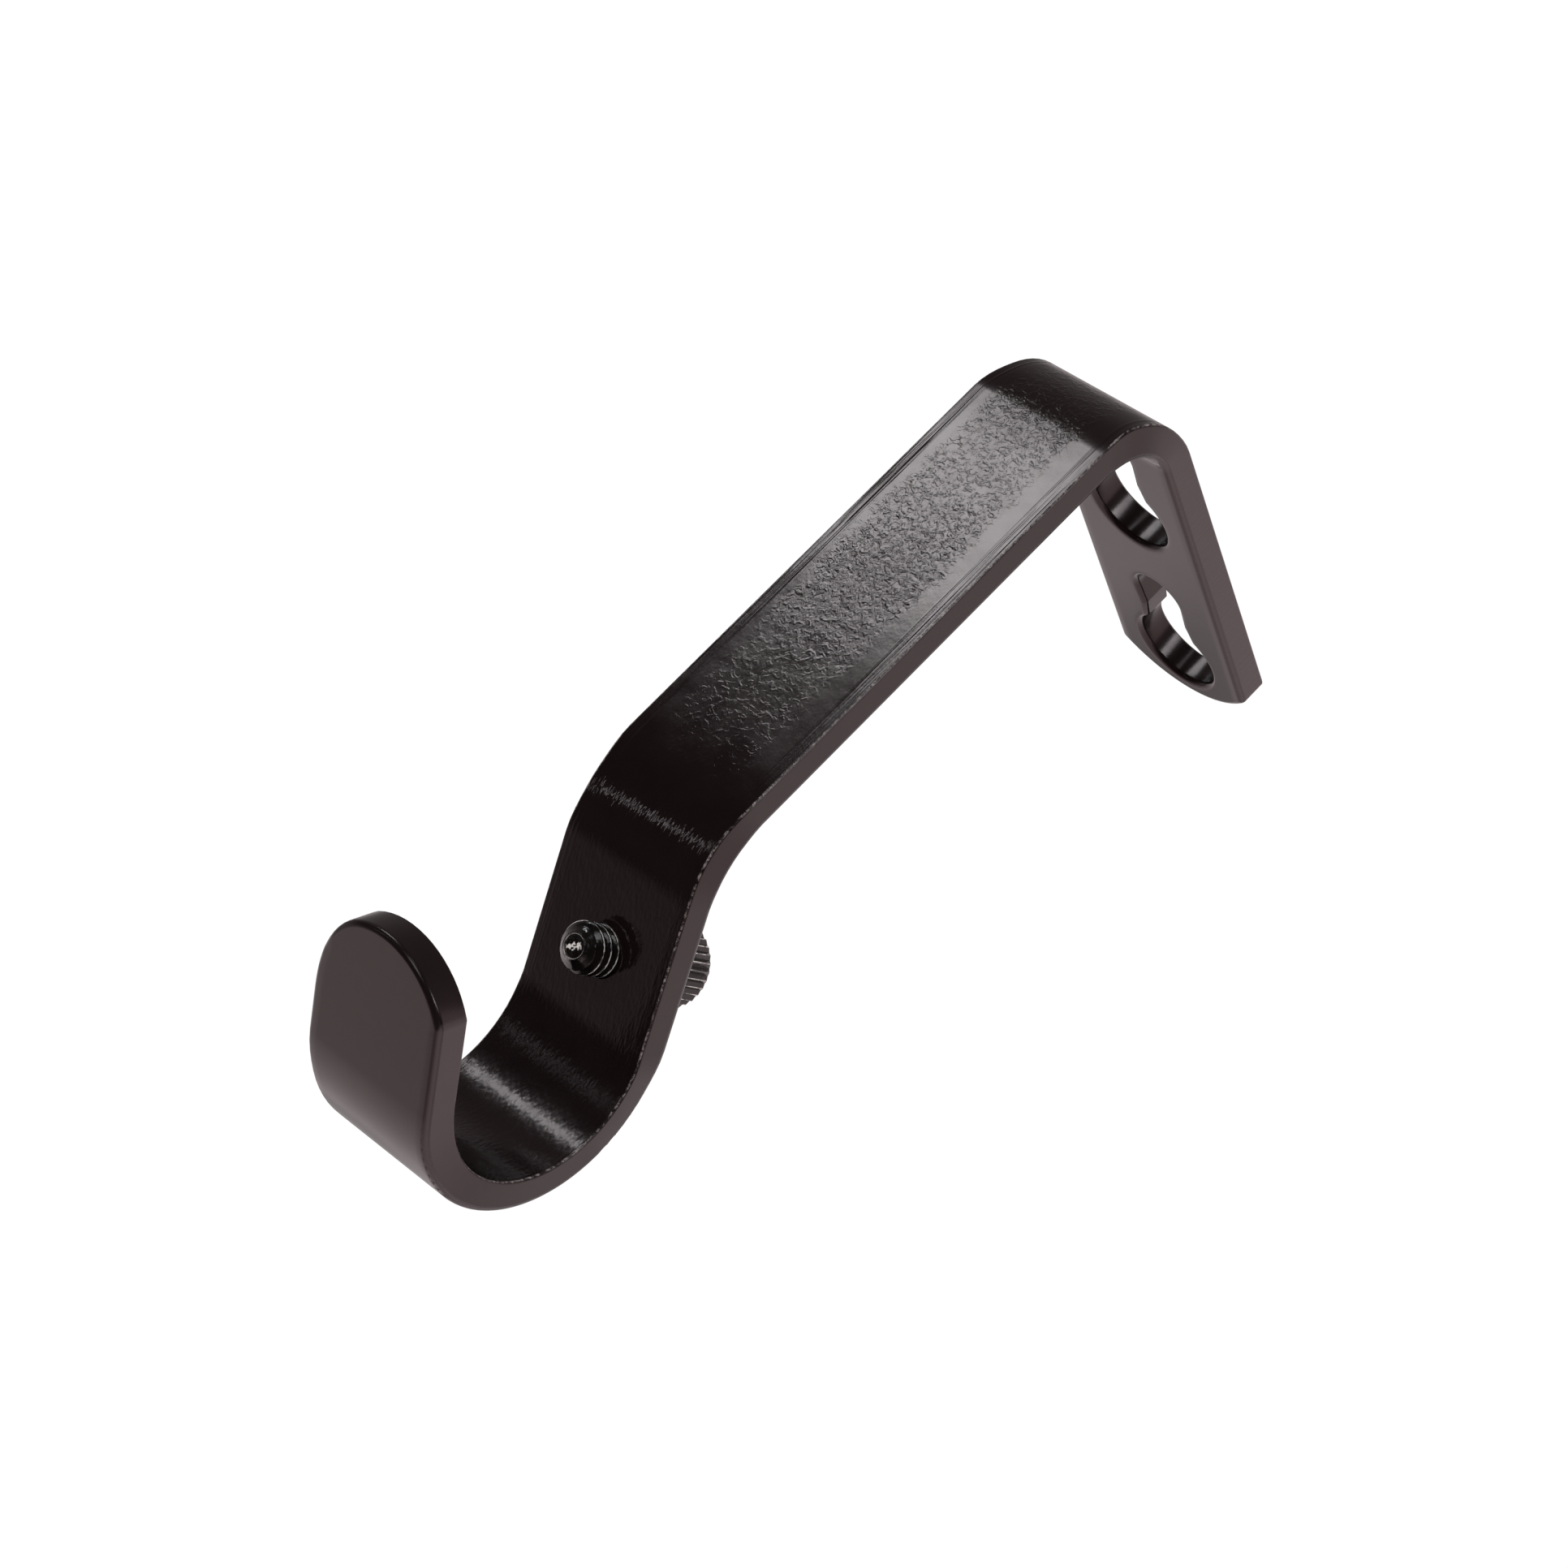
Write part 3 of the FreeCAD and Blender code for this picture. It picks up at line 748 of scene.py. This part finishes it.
# %% Where the screw stands
joint_axis = Vector(frame["joints"][0]["axis"]).normalized()
screw_along_stem = 9.8
stem_angle = math.radians(stem["heading"])
entry_u = (stem["start"][0] + screw_along_stem * math.cos(stem_angle)
           - thickness / 2.0 * math.sin(stem_angle))
entry_z = (stem["start"][1] + screw_along_stem * math.sin(stem_angle)
           + thickness / 2.0 * math.cos(stem_angle))
screw_entry = Vector((0.0, -entry_u, entry_z)) * MM
axis_x = Vector((1.0, 0.0, 0.0))
axis_y = joint_axis.cross(axis_x)
screw_frame = Matrix((
    (axis_x.x, axis_y.x, joint_axis.x, screw_entry.x),
    (axis_x.y, axis_y.y, joint_axis.y, screw_entry.y),
    (axis_x.z, axis_y.z, joint_axis.z, screw_entry.z),
    (0.0, 0.0, 0.0, 1.0)))
print("screw enters at", [round(v / MM, 2) for v in screw_entry])

# %% [markdown]
# The thread is 6 mm across and coarse, and it is cut 0.613 of its pitch deep. It has a
# narrow flat at the crest and a round root, so its wave is part straight flank and part
# soft step.

# %% Thread
crest_r = 3.0
pitch = 1.25
thread_depth = 0.613 * pitch
root_r = crest_r - thread_depth
lean = math.radians(14.0)
head_gap = 3.2
head_front = -thickness / math.cos(lean) - head_gap
thread_end = head_front + 1.6
run_out_length = 1.2
thread_start = 0.112    # share of a turn, as the thread stands in the photograph
flank_top = 0.90
flank_width = 0.74
softness = 0.45


def thread_phase(height, angle):
    """Where a point lies in the thread's wave: 0.5 is the crest."""
    return (height / pitch - angle / (2.0 * math.pi) + thread_start) % 1.0


def thread_radius(height, angle):
    """The thread's radius at a height and an angle: flat crest, flanks, round root."""
    from_crest = abs(thread_phase(height, angle) - 0.5) * 2.0
    rise = min(1.0, max(0.0, (flank_top - from_crest) / flank_width))
    rise = rise * rise * (3.0 - 2.0 * rise) * softness + rise * (1.0 - softness)
    run_out = min(1.0, max(0.0, (height - thread_end) / run_out_length))
    return root_r + thread_depth * rise * run_out


print("thread", round(thread_depth, 2), "mm deep, ends at", round(thread_end, 2), "mm")

# %% Cone tip and knurled head
tip_height = 4.7
cone_start = 3.4
tip_flat_r = 1.4
neck_r = 2.3
head_length = 6.8
head_back = head_front - head_length
head_r = 5.0
head_chamfer = 0.6
knurl_depth = 0.4
knurl_count = 32
ridge_slope = 1.08


def tip_radius(height):
    """The blunt cone that trims the thread."""
    share = (height - cone_start) / (tip_height - cone_start)
    return crest_r - (crest_r - tip_flat_r) * max(0.0, share)


def from_ridge(angle):
    """0 on a tooth's ridge, 1 between two teeth."""
    return abs((angle / (2.0 * math.pi) * knurl_count) % 1.0 - 0.5) * 2.0


def knurl_radius(height, angle):
    """Straight teeth, trimmed by the chamfer at both ends of the head."""
    tooth = head_r - knurl_depth * min(1.0, from_ridge(angle) * ridge_slope)
    from_end = min(head_front - height, height - head_back)
    return min(tooth, head_r - head_chamfer + max(0.0, from_end))


print("head from", round(head_back, 2), "to", round(head_front, 2), "mm along the axis")

# %% [markdown]
# A used screw has lost its black coat where it is gripped and where it rubs: on the
# thread's crests, round the tip's flat, on the ridges of the teeth and where the chamfer
# cuts them. These same places carry painted highlights as well, standing in for the
# lamps' glints on them. Each point of the mesh is told how much wear and painted highlight
# it has.

# %% Where the coat is rubbed off and highlights are painted
def wear_and_highlight_at(radius, angle, height):
    """1 where the black coat is rubbed off and a highlight is painted, 0 where it is whole."""
    if height > tip_height - 0.12:
        return 0.62 if abs(radius - tip_flat_r) < 0.05 else 0.0
    if height > head_front + 0.01:
        on_crest = abs(thread_phase(height, angle) - 0.5) < 0.07
        return 1.0 if radius > crest_r - 0.10 and on_crest else 0.0
    from_end = min(head_front - height, height - head_back)
    tooth = head_r - knurl_depth * min(1.0, from_ridge(angle) * ridge_slope)
    on_ridge = from_ridge(angle) < 0.06 and from_end > head_chamfer * 0.9
    on_chamfer = abs(tooth - (head_r - head_chamfer + from_end)) < 0.03
    return 1.0 if on_ridge or on_chamfer else 0.0


print("wear on a tooth's ridge", wear_and_highlight_at(head_r, math.pi / knurl_count, head_front - 2.0))

# %% Rings and the skin between them
def ring(height, radius_at, steps):
    """One ring: the radius may be a number or follow the height and the angle."""
    points = []
    for k in range(steps):
        angle = 2.0 * math.pi * k / steps
        radius = radius_at(height, angle) if callable(radius_at) else radius_at
        points.append((radius * math.cos(angle) * MM, radius * math.sin(angle) * MM,
                       height * MM))
    return points


def ring_surface(mesh, rings, steps):
    """Joins rings of points into a skin; a ring of one point closes an end."""
    rows = [[mesh.verts.new(point) for point in points] for points in rings]
    for low, high in zip(rows, rows[1:]):
        for k in range(steps):
            j = (k + 1) % steps
            if len(low) == 1:
                mesh.faces.new((low[0], high[j], high[k]))
            elif len(high) == 1:
                mesh.faces.new((low[k], low[j], high[0]))
            else:
                mesh.faces.new((low[k], low[j], high[j], high[k]))


print("a ring of 4 points", [[round(v / MM, 1) for v in p] for p in ring(0.0, crest_r, 4)])

# %% Build the screw
thread_steps = 96
row_gap = 0.05
screw_build = bmesh.new()
rings = [ring(head_front - 0.4, neck_r, thread_steps),
         ring(thread_end - 0.05, neck_r, thread_steps)]
height = thread_end
while height < tip_height - 1e-6:
    rings.append(ring(height, lambda h, a: min(thread_radius(h, a), tip_radius(h)),
                      thread_steps))
    height += row_gap
for share_in, rise in ((1.0, 0.0), (0.9, 0.06), (0.72, 0.10), (0.4, 0.10), (0.15, 0.06)):
    rings.append(ring(tip_height - 0.10 + rise, tip_flat_r * share_in, thread_steps))
rings.append([(0.0, 0.0, (tip_height - 0.05) * MM)])
ring_surface(screw_build, rings, thread_steps)

head_steps = knurl_count * 8
chamfer_rows = 10
side_rows = 8
head_rows = [head_back + head_chamfer * k / chamfer_rows for k in range(chamfer_rows + 1)]
head_rows += [head_back + head_chamfer + (head_length - 2.0 * head_chamfer) * k / side_rows
              for k in range(1, side_rows)]
head_rows += [head_front - head_chamfer * (1.0 - k / chamfer_rows)
              for k in range(chamfer_rows + 1)]
rings = [[(0.0, 0.0, head_back * MM)], ring(head_back, head_r * 0.5, head_steps)]
rings += [ring(h, knurl_radius, head_steps) for h in head_rows]
rings += [ring(head_front, neck_r * 0.9, head_steps)]
ring_surface(screw_build, rings, head_steps)
bmesh.ops.recalc_face_normals(screw_build, faces=screw_build.faces)
screw_mesh = bpy.data.meshes.new("thumb_screw_turned")
screw_build.to_mesh(screw_mesh)
screw_build.free()
print("screw mesh", len(screw_mesh.vertices), "points")

# %% Give it its marks of wear and painted highlight, and its place
# The scar on the tip is partly a painted highlight.
scar_and_glint_turn = math.radians(33.0)  # how the scar on the tip lies round the axis
wear_and_highlight_marks = []
spots = []
for vertex in screw_mesh.vertices:
    x, y, z = (v / MM for v in vertex.co)
    wear_and_highlight_marks.append(wear_and_highlight_at(math.hypot(x, y), math.atan2(y, x), z))
    spots += [x * math.cos(scar_and_glint_turn) + y * math.sin(scar_and_glint_turn),
              y * math.cos(scar_and_glint_turn) - x * math.sin(scar_and_glint_turn), z]
store = screw_mesh.attributes.new("screw_wear_and_highlight", "FLOAT", "POINT")
store.data.foreach_set("value", wear_and_highlight_marks)
store = screw_mesh.attributes.new("screw_place", "FLOAT_VECTOR", "POINT")
store.data.foreach_set("vector", spots)
screw_mesh.transform(screw_frame)
for face in screw_mesh.polygons:
    face.use_smooth = True
screw_mesh.set_sharp_from_angle(angle=math.radians(38.0))
screw = bpy.data.objects.new("thumb_screw_turned", screw_mesh)
bpy.context.scene.collection.objects.link(screw)
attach(screw, "screw")
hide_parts("thumb_screw")
print("worn points", sum(1 for mark in wear_and_highlight_marks if mark > 0.0))

# %% [markdown]
# ## Black lacquer on the screw
# The screw is steel with a thin glossy black lacquer over the machined metal. It is
# smoother than the bar, so it is nearly black with small hard highlights. Where it is
# worn, bright steel shows in scuffed patches, which are also painted near white as painted
# highlights. A short bright patch on the flat of the tip is partly a scar bitten by the pole
# and partly a painted highlight.

# %% Lacquer lumps, and scuffed patches with painted highlights
black, tree, output = new_material("black_lacquered_steel")
spot = add_node(tree, "ShaderNodeTexCoord")
in_mm = add_node(tree, "ShaderNodeVectorMath", {0: spot.outputs["Object"], 1: (PER_MM,) * 3},
                 operation="MULTIPLY").outputs[0]
place = add_node(tree, "ShaderNodeAttribute", attribute_name="screw_place")
axes = add_node(tree, "ShaderNodeSeparateXYZ", {"Vector": place.outputs["Vector"]})
beside_scar_and_glint, across_scar_and_glint, up_screw = (axes.outputs[name] for name in "XYZ")
worn_and_highlit = add_node(tree, "ShaderNodeAttribute", attribute_name="screw_wear_and_highlight").outputs["Fac"]
screw_pattern = {}
for name, per_mm, detail in (("lumps", 1.6, 3.0), ("scuffs_and_glints", 0.8, 4.0), ("scar_and_glint_edge", 2.6, 4.0)):
    screw_pattern[name] = add_node(tree, "ShaderNodeTexNoise",
                                   {"Vector": in_mm, "Scale": per_mm,
                                    "Detail": detail}).outputs["Fac"]
relief = combine(tree, "MULTIPLY", screw_pattern["lumps"], (up_screw, 4.2, 4.6, 0.03, 0.16))
bump = add_node(tree, "ShaderNodeBump", {"Height": relief, "Strength": 1.0, "Distance": MM})
scuffs_and_highlights = combine(tree, "MULTIPLY", (worn_and_highlit, 0.35, 0.75, 0.0, 1.0),
                  (screw_pattern["scuffs_and_glints"], 0.40, 0.58, 0.12, 1.0))
print("lumps", round(1.0 / 1.6, 2), "mm")

# %% The scar and painted highlight on the tip, and the shader
# The tip's scar and the worn patches are painted brighter than bare steel: a near-white colour
# and a share of metal stand in for the lamps' highlights on them.
scar_and_glint_ragged = 1.7       # mm that the scar's edge wanders
wear_and_highlight_metal = 0.3        # how much of the worn patches is shaded as bare metal
wear_and_highlight_rough = 0.12
jagged = combine(tree, "MULTIPLY", combine(tree, "SUBTRACT", screw_pattern["scar_and_glint_edge"], 0.5),
                 scar_and_glint_ragged)
from_scar_and_glint = [add_node(tree, "ShaderNodeMath", {0: value}, operation="ABSOLUTE").outputs[0]
            for value in (combine(tree, "ADD", across_scar_and_glint, jagged), beside_scar_and_glint)]
scar_and_glint = combine(tree, "MULTIPLY", (from_scar_and_glint[0], 0.14, 0.30, 1.0, 0.0),
               (from_scar_and_glint[1], 0.9, 1.15, 1.0, 0.0), (up_screw, 4.5, 4.58, 0.0, 1.0))
bright = combine(tree, "MAXIMUM", scuffs_and_highlights, scar_and_glint)
lacquer = add_node(tree, "ShaderNodeMix",
                   {"Factor": screw_pattern["lumps"], "A": linear("#0d0a0a"),
                    "B": linear("#171212")}, data_type="RGBA").outputs["Result"]
# Painted highlight: the worn crests, ridges and tip scar are mixed towards near white.
screw_tone = add_node(tree, "ShaderNodeMix",
                      {"Factor": bright, "A": lacquer, "B": linear("#fbf5f1")},
                      data_type="RGBA").outputs["Result"]
rough = combine(tree, "ADD", (screw_pattern["lumps"], 0.35, 0.65, 0.10, 0.20),
                combine(tree, "MULTIPLY", bright, wear_and_highlight_rough))
screw_shader = add_node(tree, "ShaderNodeBsdfPrincipled",
                        {"Base Color": screw_tone, "Roughness": rough,
                         "Metallic": combine(tree, "MULTIPLY", scuffs_and_highlights, wear_and_highlight_metal),
                         "Normal": bump.outputs["Normal"], "IOR": 1.5,
                         "Specular Tint": (1.0, 0.86, 0.86, 1.0)})
tree.links.new(screw_shader.outputs[0], output.inputs["Surface"])
screw_mesh.materials.append(black)
print("materials", [m.name for m in bpy.data.materials])

# %% [markdown]
# ## The construction's box
# Dressing must not change the object's size. The construction's box is written out.

# %% Write down the construction's box and finish
print("construction box", [round(v / MM, 2) for v in (*cad_low, *cad_high)])
